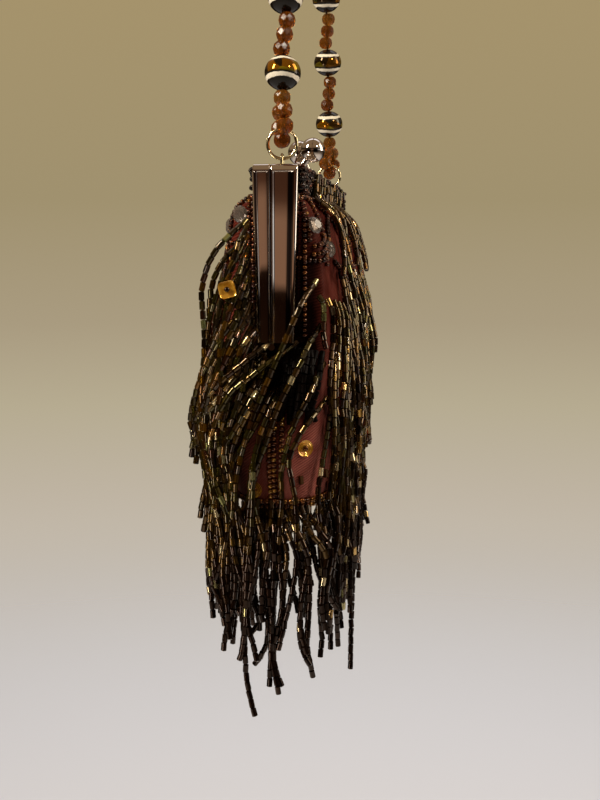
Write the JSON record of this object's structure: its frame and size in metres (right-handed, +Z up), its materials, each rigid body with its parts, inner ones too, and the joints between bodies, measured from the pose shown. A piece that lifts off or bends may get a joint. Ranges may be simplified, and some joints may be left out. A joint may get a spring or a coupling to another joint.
{
  "type": "beaded evening clutch",
  "caption": "Small hanging evening bag: satin pouch in a polished hinged frame with kiss lock, tiers of bugle-bead fringe and a bead strap.",
  "frame": {"origin": "the point under the top bead of the strap where the bag hangs on a hook or an arm", "axes": "+Z up, +X along the frame and the bag's length, -Y out of the front face"},
  "size_m": [0.1576, 0.0576, 0.3584],
  "materials": {
    "polished_metal": "mirror polished plate",
    "ring_wire": "bright pale gold wire",
    "burgundy_satin": "ribbed satin with a soft sheen",
    "bronze_bugle_glass": "dark bronze lustre, cut bugle beads",
    "amber_glass": "clear brown amber, faceted",
    "banded_glass": "dark glossy bead with pale bands",
    "clear_stone": "clear, cut and polished"
  },
  "bodies": {
    "root": {"frame_front": "polished_metal", "frame_back": "polished_metal", "hinge_barrel_left": "polished_metal", "hinge_barrel_right": "polished_metal", "pouch": "burgundy_satin", "strap_ring_left": "ring_wire", "strap_ring_right": "ring_wire", "fringe_upper_front": "bronze_bugle_glass", "fringe_upper_back": "bronze_bugle_glass", "fringe_middle": "bronze_bugle_glass", "fringe_lower": "bronze_bugle_glass", "stone_front_1": "clear_stone", "stone_front_2": "clear_stone", "stone_front_3": "clear_stone", "stone_front_4": "clear_stone", "stone_back_1": "clear_stone", "stone_back_2": "clear_stone", "stone_back_3": "clear_stone", "stone_back_4": "clear_stone", "strap_string_left": "amber_glass", "strap_string_right": "amber_glass", "strap_bead_01": "banded_glass", "strap_bead_02": "banded_glass", "strap_bead_03": "banded_glass", "strap_bead_04": "banded_glass", "strap_bead_05": "banded_glass", "strap_bead_06": "banded_glass", "strap_bead_07": "banded_glass", "strap_bead_08": "banded_glass", "strap_bead_09": "banded_glass", "strap_bead_10": "banded_glass", "strap_bead_11": "banded_glass", "strap_bead_12": "banded_glass", "strap_bead_13": "banded_glass", "strap_bead_14": "banded_glass", "strap_bead_15": "banded_glass"}
  },
  "joints": []
}
